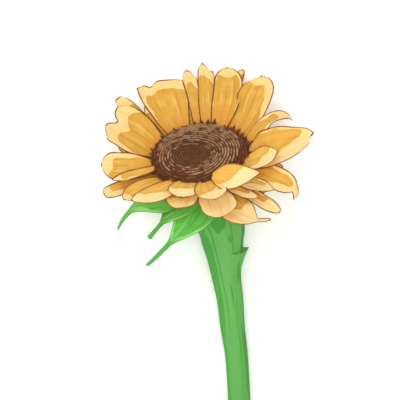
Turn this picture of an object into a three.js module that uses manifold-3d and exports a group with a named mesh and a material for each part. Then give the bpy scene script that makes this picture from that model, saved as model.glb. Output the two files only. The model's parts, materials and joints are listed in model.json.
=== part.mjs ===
// A cut sunflower: one bloom on a length of stem, lying on its back on a flat floor.
// Units are millimetres and degrees. +Z is up and the stem runs off towards -Y.
import * as THREE from "three";
import Module from "manifold-3d";

const wasm = await Module();
wasm.setup();
const { Manifold, Mesh: SolidMesh } = wasm;
const rad = THREE.MathUtils.degToRad;
const vec = (x, y, z) => new THREE.Vector3(x, y, z);

// ---- the head: seed disc and green back ------------------------------------------------
const HEAD_TILT = 51;        // how far the face turns from straight up towards +Y
const HEAD_TURN = 8;         // and the turn of the tilted head about Z
const DISC_DOME = [[0, 6.3], [9, 6.3], [18, 8], [28, 9.7], [36, 9.2], [43, 6.5], [48, 2], [50, -3]];
const DISC_UNDER = -5;       // flat underside of the disc
const BACK_DISH = [[48.5, -7], [47, -10], [41, -17.5], [34, -24], [28, -29]];
const BACK_TOP = -5.4;       // flat upper face of the green back
const HEAD_SIDES = 28;

// ---- the blades: ray petals and bracts -------------------------------------------------
const RAY_ROWS = [[47, 0], [44, -6], [40, -12], [38, -17]];   // start radius and height by row
const BRACT_ROW = [33, -22];
const NECK_ROW = [21, -30];   // the lowest bract springs from the neck of the stem
const BLADE_THICK = 1.8;     // along the midrib
const EDGE_THICK = 0.9;      // at the margin
const GAP = 0.35;            // clearance between neighbouring solids
const FLAT_WITHIN = 0.06;    // facets this close to one plane are joined
const MIDRIB_STEPS = 28;
const STEPS_LONG = 6;
const STEPS_WIDE = 3;
const FLARE_POWER = 5;       // how late a blade flares

// Shape of a blade, as fractions unless it says otherwise. aim turns it from the bearing, side and
// curl bend its midrib (degrees by the tip, gathered there by sway and bend), roll turns it about
// the midrib. It is base wide where it starts, full width at peak, and its tail, end wide, begins
// at stop; q and r shape the run between. sides are the two halves' widths and flare widens them towards
// the tip. skew, corners and lobes [where across, depth, breadth] cut the tip.
const PLAIN = { row: 1, curl: 0, bend: 1.6, aim: 0, side: 0, sway: 1, roll: 0, base: 0.38, peak: 0.5,
  q: 1.5, r: 0.8, stop: 1, end: 0.06, sides: [1, 1], flare: [0, 0], cup: 0.12, skew: 0, corners: [0, 0],
  lobes: [], lift: 0, wide: STEPS_WIDE };
const ray = (at, length, width, rise, shape) => ({ ...PLAIN, at, length, width, rise, ...shape });

// Bearing round the disc (0 is +X, 90 the top of the tilted face), length, width and rise.
const RAYS = [
  ray(-79, 48, 31, 8, { row: 0, aim: 52, side: 20, base: 0.3, peak: 0.32, q: 1.1, r: 0.95, lift: 6,
    roll: 24, sides: [1.05, 0.8] }),
  ray(-88, 44, 31, 14, { row: 0, base: 0.55, side: 12, q: 2.2, lift: 1, sides: [0.9, 1.05] }),
  ray(-109, 29, 32, 10, { row: 0, base: 0.7, q: 1.9, lift: 1 }),
  ray(-127, 53, 28, 6, { row: 0, side: -42, sides: [0.85, 1.2] }),
  ray(-165, 46, 12, 2, { row: 0, roll: -20, base: 0.6, sides: [0.8, 1] }),
  ray(61, 71, 29, 26, { row: 0, side: 24, q: 2.4, r: 0.7, base: 0.6, sides: [1.1, 1] }),
  ray(-31, 39, 29, 22, { row: 0, q: 1.3, r: 1, end: 0.04, side: 40, roll: 10 }),
  ray(79, 76, 20, 35, { side: 5, lift: 2, q: 3, r: 0.5, end: 0.75, sides: [1.15, 0.72],
    lobes: [[-0.85, 0.15, 0.65], [1, 0.07, 0.4]] }),
  ray(111, 69.5, 50, 29.8, { side: -14, base: 0.45, peak: 0.86, q: 3, end: 0.94, r: 0.35, skew: 0.05, wide: 6,
    corners: [0.06, 0.05], lobes: [[0.45, 0.1, 0.19], [0.9, 0.07, 0.3]], sides: [0.94, 0.96],
    flare: [0, 0.14] }),
  ray(150, 62, 56, 31, { base: 0.42, peak: 0.6, q: 3, end: 0.9, r: 0.35, roll: -8, wide: 6,
    corners: [0.12, 0.02], lobes: [[-0.65, -0.04, 0.25], [0.05, 0.13, 0.2], [1, 0.14, 0.3]],
    sides: [0.86, 1] }),
  ray(-176, 57, 35, 15, { peak: 0.6, q: 2.4, roll: -22, sides: [0.85, 1] }),
  ray(35, 71, 38, 37, { q: 2.4, r: 0.6, end: 0.1, skew: -0.02, side: 30, sway: 1.1, base: 0.6,
    sides: [1.05, 0.98], corners: [0, 0.03], wide: 4 }),
  ray(-18, 73, 43, 15, { side: 37, q: 1.2, r: 0.75, peak: 0.36, roll: 8, end: 0.18, skew: 0.05,
    sides: [0.86, 1.22] }),
  ray(10, 67, 17, 48, { curl: -118, bend: 3, side: -1, base: 0.6, stop: 0.9, end: 0.6 }),
  ray(89, 71, 15, 36, { peak: 0.6, q: 3, r: 0.4, end: 0.8, lobes: [[-1, 0.16, 0.8], [1.1, 0.1, 0.4]],
    sides: [1, 0.72], flare: [0, 0.9] }),
  ray(-50, 48, 20, -2, { side: 24 }),
  ray(-64, 43, 16, -4, { side: 38 }),
  ray(-26, 75, 34, 5, { curl: -114, bend: 2.1, side: 2, peak: 0.4, stop: 0.82, end: 0.4, q: 2, roll: 15,
    sides: [1.32, 0.36] }),
  ray(-82, 47, 36, -5, { base: 0.5, q: 2.4, peak: 0.55 }),
  ray(-111, 36, 31, 2, { base: 0.55, q: 2.4 }),
  ray(-145, 53, 30, 6, { q: 2 }),
  ray(137, 80, 23, 36, { row: 2, end: 0.5, q: 2.6, corners: [0.03, 0.06], lift: -3 }),
  ray(60, 84, 11, 28.6, { row: 2, end: 0.6 }),
  ray(-50, 63, 18, -15, { row: 2, side: 10, end: 0.3 }),
  ray(-72, 76, 40, -16, { row: 2, curl: 24, side: 76, sway: 2.2, q: 1.3, peak: 0.4, stop: 0.82,
    end: 0.16, sides: [0.9, 1] }),
  ray(-164, 64, 18, 1, { row: 2, end: 0.5, q: 2.5, roll: -15 }),
];
// The hindmost row shows only through the gaps between the others: bearing, length, rise.
const HIND_RAYS = [[124, 58, 36], [99, 46, 36], [72, 52, 36], [47, 58, 37], [24, 50, 36], [0, 46, 24],
  [-18, 46, 8], [-38, 40, -6], [163, 48, 22], [-172, 46, 8]];
for (const [at, length, rise] of HIND_RAYS) RAYS.push(ray(at, length, 22, rise, { row: 3, q: 1.3 }));

// Green bracts: broad where they clasp the back, drawn out to a narrow recurved tail.
const bract = (at, length, width, rise, shape) => ray(at, length, width, rise,
  { start: BRACT_ROW, base: 0.8, peak: 0.25, q: 0.9, r: 1, stop: 0.66, end: 0.2, ...shape });
const BRACTS = [
  bract(206, 78, 32, 8, { curl: -80, bend: 2.2, lift: -4, roll: -32, sides: [0.5, 1.5], end: 0.17 }),
  bract(236, 62, 42, -6, { curl: -30, side: -30, base: 0.9, lift: -4, sides: [0.8, 1.1], end: 0.15 }),
  bract(254, 101, 46, -10, { start: NECK_ROW, curl: -12, side: -50, sides: [0.6, 1.15], end: 0.135,
    base: 0.6, peak: 0.34 }),
];
// The rest of the ring, hidden behind the petals: bearing, length, rise. The two that lie lowest
// in the tilted head carry it on the floor together with the top petals.
const HIND_BRACTS = [[-46, 40, 4], [-20, 40, 8], [6, 44, 16], [28, 46, 20], [52, 48, 12.6], [80, 46, 34],
  [106, 46, 34], [133, 48, 6.5], [160, 44, 16], [186, 42, 8]];
for (const [at, length, rise] of HIND_BRACTS) BRACTS.push(bract(at, length, 28, rise, { curl: -12 }));

// ---- the stem --------------------------------------------------------------------------
// Centre line from the head's back to the cut, with the radius at each station.
const STEM = [[4, -23.4, -18.8, 25], [13, -50, -30, 26], [21, -72, -34, 24.2], [22.8, -88, -37, 21.4],
  [25, -106, -40, 18], [27, -126, -42, 15], [30.8, -149, -44, 13.6], [33.4, -177, -46, 12.7],
  [37.7, -209, -47.8, 11.7], [40, -245, -48.4, 11.6], [40.5, -262, -48.4, 11.7], [40.5, -283, -48.4, 11.8]];
const STEM_SIDES = 16;
const RIBS = 5;              // lengthwise ribs
const RIB_DEPTH = 0.035;     // against the radius
// What is left of a leaf stalk, broad where it leaves the stem and torn to a point.
const STUB = [[30, -129, -40, 9.5], [36, -116, -40, 7.6], [42, -104, -39.5, 5], [46, -97, -39, 2.6],
  [47, -94.5, -39, 0.8]];
const STUB_SIDES = 10;

// ---- solids ----------------------------------------------------------------------------
const headAxes = () => {
  const t = rad(HEAD_TILT), u = rad(HEAD_TURN);
  const face = vec(-Math.sin(u) * Math.sin(t), Math.cos(u) * Math.sin(t), Math.cos(t));
  const right = vec(Math.cos(u), Math.sin(u), 0);
  return new THREE.Matrix4().makeBasis(right, face.clone().cross(right), face);
};
const HEAD = headAxes();

// A closed solid from a grid of rings of points. The first and last ring are capped from side to
// side, zipping the two halves of the ring together, so that a notched tip stays clean.
function skin(rings, closed) {
  const n = rings[0].length, pos = rings.flat().flatMap((p) => [p.x, p.y, p.z]), tri = [];
  for (let i = 0; i + 1 < rings.length; i++)
    for (let j = 0; j < n; j++) {
      const a = i * n + j, b = i * n + (j + 1) % n, c = a + n, d = b + n;
      tri.push(a, b, d, a, d, c);
    }
  for (const [ring, flip] of closed) {
    const cap = [];
    for (let j = 0, k = n - 1; j + 1 < k; j++, k--) {
      cap.push([j, j + 1, k]);
      if (j + 1 < k - 1) cap.push([j + 1, k - 1, k]);
    }
    for (const [a, b, c] of cap.map((t) => t.map((v) => ring * n + v)))
      tri.push(...(flip ? [a, c, b] : [a, b, c]));
  }
  return solid(pos, tri);
}

function solid(pos, tri) {
  const make = (t) => new Manifold(new SolidMesh({ numProp: 3,
    vertProperties: new Float32Array(pos), triVerts: new Uint32Array(t) }));
  const first = make(tri);
  if (first.volume() > 0) return first;
  for (let i = 0; i < tri.length; i += 3) [tri[i + 1], tri[i + 2]] = [tri[i + 2], tri[i + 1]];
  return make(tri);
}

// Turned shape of the head: a profile of [radius, height] closed by flat faces.
function turned(profile, grow) {
  const rings = profile.map(([r, z]) => Array.from({ length: HEAD_SIDES }, (_, k) => {
    const a = 2 * Math.PI * k / HEAD_SIDES;
    return vec((r + grow) * Math.cos(a), (r + grow) * Math.sin(a), z).applyMatrix4(HEAD);
  }));
  return skin(rings, [[0, true], [rings.length - 1, false]]);
}

// A round, ribbed limb along a run of stations, each [x, y, z, radius].
function limb(stations, grow, sides, ribs) {
  const at = stations.map(([x, y, z]) => vec(x, y, z));
  let side = vec(1, 0, 0);
  const rings = stations.map(([, , , r], i) => {
    const along = at[Math.min(i + 1, at.length - 1)].clone().sub(at[Math.max(i - 1, 0)]);
    if (i === at.length - 1 && ribs) along.copy(at[i]).sub(at[i - 1]);
    along.normalize();
    side = side.clone().addScaledVector(along, -side.dot(along)).normalize();
    const across = along.clone().cross(side);
    return Array.from({ length: sides }, (_, k) => {
      const a = 2 * Math.PI * k / sides;
      const rr = (r + grow) * (1 + ribs * Math.cos(RIBS * a));
      return at[i].clone().addScaledVector(side, rr * Math.cos(a)).addScaledVector(across, rr * Math.sin(a));
    });
  });
  return skin(rings, [[0, true], [rings.length - 1, false]]);
}

function widthAt(p, s) {
  if (s < p.peak) return p.base + (1 - p.base) * Math.sin(Math.PI / 2 * s / p.peak);
  const run = Math.min(1, (s - p.peak) / (p.stop - p.peak));
  const fall = Math.max(0, Math.cos(Math.PI / 2 * run ** p.q)) ** p.r;
  return fall + (1 - fall) * p.end;
}

// A thin closed blade. Its midrib leaves the head at the bearing and rise and bends from there.
function blade(p, grow) {
  const a = rad(p.at), [radius, height] = p.start ?? RAY_ROWS[p.row];
  const out = vec(Math.cos(a), Math.sin(a), 0), round = vec(-Math.sin(a), Math.cos(a), 0);
  const up = vec(0, 0, 1), frames = [];
  const place = out.clone().multiplyScalar(radius).addScaledVector(up, height + p.lift);
  for (let i = 0; i <= MIDRIB_STEPS; i++) {
    const s = i / MIDRIB_STEPS, k = rad(p.roll);
    const e = rad(p.rise + p.curl * s ** p.bend), y = rad(p.aim + p.side * s ** p.sway);
    const level = out.clone().multiplyScalar(Math.cos(y)).addScaledVector(round, Math.sin(y));
    const along = level.multiplyScalar(Math.cos(e)).addScaledVector(up, Math.sin(e));
    const flat = round.clone().multiplyScalar(Math.cos(y)).addScaledVector(out, -Math.sin(y));
    const proud = along.clone().cross(flat);
    const wide = flat.multiplyScalar(Math.cos(k)).addScaledVector(proud, Math.sin(k));
    frames.push({ place: place.clone(), along, wide, face: along.clone().cross(wide) });
    place.addScaledVector(along, p.length / MIDRIB_STEPS);
  }
  const point = (s, t, side) => {
    const half = t < 0 ? 0 : 1;
    const notch = ([at, depth, broad]) => depth * Math.exp(-(((t - at) / broad) ** 2));
    const cut = p.lobes.reduce((sum, lobe) => sum + notch(lobe), 0) + p.corners[half] * t ** 4;
    const x = s * (1 + (p.skew * t - cut) * s * s) * MIDRIB_STEPS;
    const i = Math.min(Math.floor(x), MIDRIB_STEPS), f = x - i;
    const { place, along, wide, face } = frames[i];
    const h = p.width / 2 * widthAt(p, s) * p.sides[half] * (1 + p.flare[half] * s ** FLARE_POWER) + grow;
    const thick = EDGE_THICK + (BLADE_THICK - EDGE_THICK) * (1 - t * t) + 2 * grow;
    const past = f * p.length / MIDRIB_STEPS + (s === 1 ? grow : s === 0 ? -grow : 0);
    return place.clone().addScaledVector(along, past).addScaledVector(wide, h * t)
      .addScaledVector(face, p.cup * h * t * t + side * thick / 2).applyMatrix4(HEAD);
  };
  const rings = [];
  for (let i = 0; i <= STEPS_LONG; i++) {
    const row = (side) => Array.from({ length: p.wide + 1 }, (_, j) =>
      point(i / STEPS_LONG, 2 * j / p.wide - 1, side));
    rings.push([...row(1), ...row(-1).reverse()]);
  }
  return skin(rings, [[0, true], [rings.length - 1, false]]);
}

// ---- fitting the solids together --------------------------------------------------------
// Earlier solids keep their shape; each later one gives way to them by GAP, and stays one body.
const two = (n) => String(n).padStart(2, "0");
const discShape = (grow) => turned(
  [...DISC_DOME.map(([r, z]) => [Math.max(r, 0.5), z + grow]), [50, DISC_UNDER - grow]], grow);
const backShape = (grow) => turned(
  [[48.5, BACK_TOP + grow], ...BACK_DISH.map(([r, z], i) => [r, i === 4 ? z - grow : z])], grow);
const makers = [
  ["seed_disc", "disc", discShape],
  ["green_back", "green", backShape],
  ["stem", "green", (grow) => limb(STEM, grow, STEM_SIDES, RIB_DEPTH)],
  ["leaf_stub", "green", (grow) => limb(STUB, grow, STUB_SIDES, 0)],
  ...RAYS.map((p, i) => [`ray_${two(i + 1)}`, "petal", (grow) => blade(p, grow)]),
  ...BRACTS.map((p, i) => [`bract_${two(i + 1)}`, "green", (grow) => blade(p, grow)]),
];
const COLOURS = { disc: 0x5b3a22, green: 0x4f9e41, petal: 0xeeb447 };
const materials = Object.fromEntries(Object.entries(COLOURS).map(([slot, color]) =>
  [slot, new THREE.MeshStandardMaterial({ name: slot, color, roughness: 0.8 })]));

const apart = (a, b) => ["x", "y", "z"].some((_, i) => a.min[i] > b.max[i] || b.min[i] > a.max[i]);
const settled = [];
for (const [name, slot, make] of makers) {
  let shape = make(0);
  for (const other of settled)
    if (!apart(shape.boundingBox(), other.room.boundingBox())) shape = shape.subtract(other.room);
  shape = shape.decompose().sort((a, b) => b.volume() - a.volume())[0].simplify(FLAT_WITHIN);
  settled.push({ name, slot, shape, room: make(GAP).add(shape) });
}

const box = new THREE.Box3();
for (const { shape } of settled) {
  const { min, max } = shape.boundingBox();
  box.expandByPoint(vec(...min)).expandByPoint(vec(...max));
}
const centre = box.getCenter(vec(0, 0, 0));

const sunflower = new THREE.Group();
sunflower.name = "sunflower";
for (const { name, slot, shape } of settled) {
  const { vertProperties, triVerts } = shape.getMesh();
  const geometry = new THREE.BufferGeometry();
  geometry.setAttribute("position", new THREE.BufferAttribute(new Float32Array(vertProperties), 3));
  geometry.setIndex([...triVerts]);
  geometry.translate(-centre.x, -centre.y, -box.min.z);
  geometry.computeVertexNormals();
  const mesh = new THREE.Mesh(geometry, materials[slot]);
  mesh.name = name;
  sunflower.add(mesh);
}
export default sunflower;
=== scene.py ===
# %% [markdown]
# # A cut sunflower, lying on a table
# One bloom on a length of bare stem. The solids made beforehand say where every petal, bract and
# the stem lie; this notebook gives them their real surfaces. We load those solids first and take
# the middle of the stem's cut from them; every piece here is laid out from that one place.

# %% Load the solids
import math

import bpy
import numpy as np
from mathutils import Matrix, Vector
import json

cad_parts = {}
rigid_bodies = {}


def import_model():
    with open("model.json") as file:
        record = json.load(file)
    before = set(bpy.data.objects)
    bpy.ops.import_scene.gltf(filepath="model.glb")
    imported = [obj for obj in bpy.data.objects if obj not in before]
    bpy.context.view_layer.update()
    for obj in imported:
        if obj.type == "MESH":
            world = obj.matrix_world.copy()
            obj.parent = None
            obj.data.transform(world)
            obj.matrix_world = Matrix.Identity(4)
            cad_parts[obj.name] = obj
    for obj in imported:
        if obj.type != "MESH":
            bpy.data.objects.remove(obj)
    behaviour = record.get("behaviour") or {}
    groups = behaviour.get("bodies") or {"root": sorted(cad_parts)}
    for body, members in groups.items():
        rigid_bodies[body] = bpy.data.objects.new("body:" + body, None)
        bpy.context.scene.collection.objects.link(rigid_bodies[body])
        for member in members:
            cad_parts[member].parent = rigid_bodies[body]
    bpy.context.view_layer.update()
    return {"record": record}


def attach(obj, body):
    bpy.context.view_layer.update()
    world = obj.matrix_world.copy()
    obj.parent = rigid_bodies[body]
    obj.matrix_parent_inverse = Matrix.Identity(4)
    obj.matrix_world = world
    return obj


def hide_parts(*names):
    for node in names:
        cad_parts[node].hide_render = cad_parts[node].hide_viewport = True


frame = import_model()

# %% [markdown]
# ## Where the head sits
# The petals are easiest to describe around the middle of the disc, with the face of the flower
# looking along its own Z. The only place we need from outside is the middle of the stem's cut;
# from there a fixed step leads to the middle of the head, and two angles tilt it.

# %% Head axes
MM = 0.001
CUT = next(m for m in frame["record"]["mounts"] if m["name"] == "cut_end")
CUT_TO_HEAD = Vector((-40.5, 283, 48.4))
HEAD_AT = np.array(Vector(CUT["pos_m"]) + CUT_TO_HEAD * MM)
TILT, TURN = math.radians(51), math.radians(8)

face_way = np.array([-math.sin(TURN) * math.sin(TILT), math.cos(TURN) * math.sin(TILT), math.cos(TILT)])
right_way = np.array([math.cos(TURN), math.sin(TURN), 0.0])
HEAD = np.array([right_way, np.cross(face_way, right_way), face_way])


def from_head(points):
    """Head axes in millimetres to the table's axes in metres."""
    return points @ HEAD * MM + HEAD_AT


def from_table(points):
    """Millimetres measured from the middle of the head, along the table's axes, to metres."""
    return points * MM + HEAD_AT


print("middle of the head, metres:", HEAD_AT.round(4))

# %% [markdown]
# ## Camera, light and table
# The flower lies on its back, so the camera looks straight down on it. A long lens from 1.2 m
# keeps the perspective gentle. One big soft lamp stands beyond the petals, a second fills the other
# side, a third hangs near the line of sight, and a pale sky lifts the shadows, as in a studio.

# %% Camera
EYE_HEIGHT, EYE_BELOW_HEAD = 1.2, 0.046
LENS, SENSOR = 108, 36
scene = bpy.context.scene


def put_in_scene(name, data):
    """A new object that shows some data."""
    thing = bpy.data.objects.new(name, data)
    scene.collection.objects.link(thing)
    return thing


camera_data = bpy.data.cameras.new("camera")
camera_data.lens = LENS
camera_data.sensor_width = SENSOR
camera = put_in_scene("camera", camera_data)
camera.location = HEAD_AT + np.array([0, -EYE_BELOW_HEAD, EYE_HEIGHT])
scene.camera = camera
scene.view_settings.view_transform = "Standard"
print("camera at", [round(c, 3) for c in camera.location])


# %% Lamps and sky
def softbox(name, away, size, power):
    """A square lamp that looks at the head from a place given from the head, in metres."""
    lamp = bpy.data.lights.new(name, "AREA")
    lamp.size = size
    lamp.energy = power
    holder = put_in_scene(name, lamp)
    holder.location = HEAD_AT + np.array(away)
    holder.rotation_euler = (-Vector(away)).to_track_quat("-Z", "Y").to_euler()


softbox("key_lamp", (-0.6, 0.9, 1.6), 1.1, 11)
softbox("fill_lamp", (-0.3, -1.3, 1.2), 1.6, 8)
softbox("top_lamp", (0.1, -0.2, 1.7), 0.9, 11)
sky = bpy.data.worlds.new("sky")
sky.use_nodes = True
sky.node_tree.nodes["Background"].inputs["Color"].default_value = (1.0, 0.99, 0.97, 1)
sky.node_tree.nodes["Background"].inputs["Strength"].default_value = 0.6
scene.world = sky

# %% [markdown]
# ## Small helpers
# Every piece below ends as a plain mesh whose vertices are already in place, so one function
# makes a mesh from arrays. The others keep node trees short to write: a node with its inputs, steps
# of arithmetic, coats of paint laid one over another, and a material with its shader ready.


# %% Mesh helper
def make_mesh(name, points, faces, uv=None, smooth=True, shown=True):
    """A mesh object at the origin; uv is one pair for each point."""
    mesh = bpy.data.meshes.new(name)
    mesh.from_pydata([tuple(p) for p in points], [], [tuple(int(i) for i in f) for f in faces])
    if smooth:
        mesh.shade_smooth()
    if uv is not None:
        layer = mesh.uv_layers.new(name="UVMap")
        corner = np.zeros(len(mesh.loops), np.int32)
        mesh.loops.foreach_get("vertex_index", corner)
        layer.data.foreach_set("uv", np.asarray(uv, np.float32)[corner].ravel())
    return put_in_scene(name, mesh) if shown else bpy.data.objects.new(name, mesh)


# %% Node helpers
def plug(tree, socket, value):
    """Links a socket to another node's output, or writes a plain value on it."""
    if isinstance(value, bpy.types.NodeSocket):
        tree.links.new(value, socket)
    else:
        socket.default_value = value


def add(tree, kind, inputs=None, label="", **values):
    """A node with its properties set, and its inputs plugged by name or by number."""
    node = tree.nodes.new(kind)
    node.label = label
    for key, value in values.items():
        setattr(node, key, value)
    for key, value in (inputs or {}).items():
        plug(tree, node.inputs[key], value)
    return node


def open_tree(kind, name, takes, gives, gives_kind):
    """A new tree; each input is given with its default or, where it has none, its kind of socket."""
    tree = bpy.data.node_groups.new(name, kind)
    kinds = {int: "NodeSocketInt", float: "NodeSocketFloat"}
    for key, default in takes.items():
        wanted = kinds.get(type(default), default)
        socket = tree.interface.new_socket(key, in_out="INPUT", socket_type=wanted)
        if type(default) in kinds:
            socket.default_value = default
    for key in gives:
        tree.interface.new_socket(key, in_out="OUTPUT", socket_type=gives_kind)
    given, result = tree.nodes.new("NodeGroupInput"), tree.nodes.new("NodeGroupOutput")
    return tree, given.outputs, result.inputs


# %% Arithmetic and noise
def calc(tree, operation, a, b=0.0, c=0.0):
    """One step of arithmetic on sockets or numbers."""
    return add(tree, "ShaderNodeMath", operation=operation, inputs={0: a, 1: b, 2: c}).outputs[0]


def times(tree, a, b):
    """Two sockets or numbers multiplied."""
    return calc(tree, "MULTIPLY", a, b)


def times_plus(tree, a, b, c):
    """Two sockets or numbers multiplied, and a third added."""
    return calc(tree, "MULTIPLY_ADD", a, b, c)


def ramp(tree, value, low, high, start=0.0, end=1.0):
    """value from low to high, eased, becomes start to end."""
    node = add(tree, "ShaderNodeMapRange", interpolation_type="SMOOTHSTEP", inputs={
        "Value": value, "From Min": low, "From Max": high, "To Min": start, "To Max": end})
    return node.outputs["Result"]


def noise(tree, place, scale, detail=0.0, label=""):
    """Soft clouds of values whose middle is one half."""
    inputs = {"Vector": place, "Scale": scale, "Detail": detail}
    return add(tree, "ShaderNodeTexNoise", inputs, label).outputs["Fac"]


def jog(tree, cloud, amount, value):
    """A value pushed up and down by a noise."""
    return times_plus(tree, calc(tree, "SUBTRACT", cloud, 0.5), amount, value)


# %% Paint and materials
def paint(hexa):
    """A colour written as on a paint card, as the linear values that shaders use."""
    parts = [int(hexa[i:i + 2], 16) / 255 for i in (0, 2, 4)]
    return (*[p / 12.92 if p <= 0.04045 else ((p + 0.055) / 1.055) ** 2.4 for p in parts], 1.0)


def blend(tree, share, first, second):
    """Two colours mixed by share."""
    return add(tree, "ShaderNodeMix", data_type="RGBA", inputs={0: share, 6: first, 7: second}).outputs[2]


def coats(tree, colour, *layers):
    """A colour under further coats, each given as how much of it shows and its paint card."""
    for share, card in layers:
        colour = blend(tree, share, colour, paint(card))
    return colour


def new_material(name, rough, **uniform):
    """A material and its Principled shader, with the values that are the same all over it."""
    material = bpy.data.materials.new(name)
    material.use_nodes = True
    shader = material.node_tree.nodes["Principled BSDF"]
    shader.inputs["Roughness"].default_value = rough
    for key, value in uniform.items():
        shader.inputs[key.replace("_", " ").title().replace("Ior", "IOR")].default_value = value
    return material, material.node_tree, shader


def dress(tree, shader, colour, height, strength, distance):
    """Gives a shader its colour and its small relief; distance is in metres."""
    bump = add(tree, "ShaderNodeBump", {
        "Height": height, "Strength": strength, "Distance": distance})
    plug(tree, shader.inputs["Base Color"], colour)
    plug(tree, shader.inputs["Normal"], bump.outputs[0])


def object_place(tree):
    """Where a shaded point lies, in the object's own metres."""
    return add(tree, "ShaderNodeTexCoord").outputs["Object"]


def carried(tree, *names):
    """The numbers that the points of a piece carry under these names."""
    return [add(tree, "ShaderNodeAttribute", attribute_name=name).outputs["Fac"] for name in names]


print("paint test:", [round(c, 3) for c in paint("808080")])

# %% [markdown]
# ## Veins, shared by petals and leaves
# Petals and bracts are blades with long fine veins and a margin of their own colour. That is one
# effect with other numbers, so it is a node group. It reads the blade's own map, in which U runs
# across from edge to edge and V from the base to the tip.

# %% Vein group
VEIN_SHARPNESS = 20.0


def vein_group():
    group, given, result = open_tree(
        "ShaderNodeTree", "Blade veins", {"Lines": 7.0, "Wander": 0.06, "Fineness": 900.0},
        ("Vein", "To margin", "Along", "Mottle", "Lobes"), "NodeSocketFloat")
    uv = add(group, "ShaderNodeUVMap")
    parts = add(group, "ShaderNodeSeparateXYZ", {0: uv.outputs[0]}).outputs
    place = object_place(group)
    across = jog(group, noise(group, place, 24.0, 1.0, "slow wander"), given["Wander"], parts["X"])
    wave = calc(group, "COSINE", times(group, times(group, across, 2 * math.pi), given["Lines"]))
    sharp = calc(group, "POWER", times_plus(group, wave, 0.5, 0.5), VEIN_SHARPNESS)
    fading = ramp(group, noise(group, place, 55.0, 0.0, "where veins fade"), 0.38, 0.52)
    rim = calc(group, "ABSOLUTE", times_plus(group, parts["X"], 2.0, -1.0))
    plug(group, result["Vein"], times(group, sharp, fading))
    plug(group, result["To margin"], calc(group, "SUBTRACT", 1.0, rim))
    plug(group, result["Along"], parts["Y"])
    plug(group, result["Mottle"], noise(group, place, given["Fineness"], 3.0, "fine speckle"))
    plug(group, result["Lobes"], noise(group, place, 85.0, 1.0, "painterly edge"))
    return group


VEINS = vein_group()


def veins_on(tree, lines, wander):
    """The vein group's outputs, for so many lines across a blade."""
    return add(tree, "ShaderNodeGroup", node_tree=VEINS, inputs={"Lines": lines, "Wander": wander}).outputs


print("vein group:", [s.name for s in VEINS.interface.items_tree])

# %% [markdown]
# ## Petal colour
# A ray petal is deep gold in its middle and orange where it leaves the disc. Along its hems and
# round its tip runs a cream band, a painted highlight. How wide that band is differs from petal to
# petal, so every point carries a number: how many millimetres it lies inside the cream. Petals at
# the front of the head are given painted light: a number for each slides their gold towards cream.

# %% Petal material
def petal_material():
    material, tree, shader = new_material(
        "ray petal", 0.6, specular_ior_level=0.2, subsurface_weight=0.1, subsurface_scale=0.002,
        subsurface_radius=(1.0, 0.55, 0.15))
    veins, hairlines, glints = veins_on(tree, 4.0, 0.16), veins_on(tree, 11.0, 0.07), veins_on(tree, 3.0, 0.3)
    # Painted light: a number on each petal pales its gold, its cream and its rim, and weakens its orange
    # base.
    bleach, inset, highlight_band = carried(tree, "bleach", "inset", "highlight_band")
    lobed = veins["Lobes"]
    inside = jog(tree, lobed, 7.0, highlight_band)
    # The cream is a painted highlight: pale is how much of it shows at each point, with a painterly edge.
    pale = ramp(tree, inside, -0.35, 0.35)
    gold = coats(
        tree, blend(tree, bleach, paint("daa341"), paint("efbb58")),
        (ramp(tree, lobed, 0.5, 0.6, 0, 0.4), "eebb58"),
        # Painted shade: the gold darkens in a strip just inside the painted highlight.
        (ramp(tree, inside, -7.0, -0.8, 0, 0.5), "d29a38"),
        (times(tree, glints["Vein"], 0.45), "f6cd70"))
    cream = coats(
        tree, blend(tree, ramp(tree, veins["Mottle"], 0.35, 0.65), paint("fbce80"), paint("fbd48c")),
        (ramp(tree, lobed, 0.54, 0.66, 0, 0.6), "fac993"),
        (bleach, "fedf9c"))
    vein_share = times_plus(tree, pale, -0.42, 0.6)
    warmth = times(tree, ramp(tree, veins["Along"], 0.36, 0.05, 0, 0.8), times_plus(tree, bleach, -0.75, 1.0))
    colour = coats(
        tree, blend(tree, pale, gold, cream),
        # Far inside the painted highlight the cream grows paler still.
        (ramp(tree, inside, 6.0, 10.0, 0, 0.5), "fcd8a2"),
        (times(tree, veins["Vein"], vein_share), "b5811f"),
        (times(tree, hairlines["Vein"], 0.16), "c48a28"),
        (times(tree, warmth, ramp(tree, lobed, 0.35, 0.55, 0.4, 1.0)), "e08f36"))
    rim = times(tree, ramp(tree, inset, 1.0, 1.7, 1, 0), ramp(tree, lobed, 0.35, 0.5, 0.8, 1.0))
    rim_colour = blend(tree, ramp(tree, bleach, 0.4, 0.9), paint("76431a"), paint("8a5c1e"))
    relief = times_plus(tree, veins["Vein"], -1.0, veins["Mottle"])
    height = times_plus(tree, hairlines["Vein"], -0.5, relief)
    dress(tree, shader, blend(tree, rim, colour, rim_colour), height, 0.35, 0.0004)
    return material


PETAL = petal_material()
print("material:", PETAL.name)

# %% [markdown]
# ## The shape of a blade
# A petal or bract is described as a gardener might: where round the disc it starts, how long and
# wide it is, how steeply it rises, and how it then curls, leans and rolls. Its midrib is walked in
# small steps with those turns, and each point across it is set out along the blade's own axes.
# In each row q and r shape how the width falls beyond its peak: a greater q holds it for longer, and
# a smaller r keeps it fuller towards the tail.

# %% Blade defaults
RAY_ROWS = ((47, 0), (44, -6), (40, -12), (38, -17))
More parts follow.
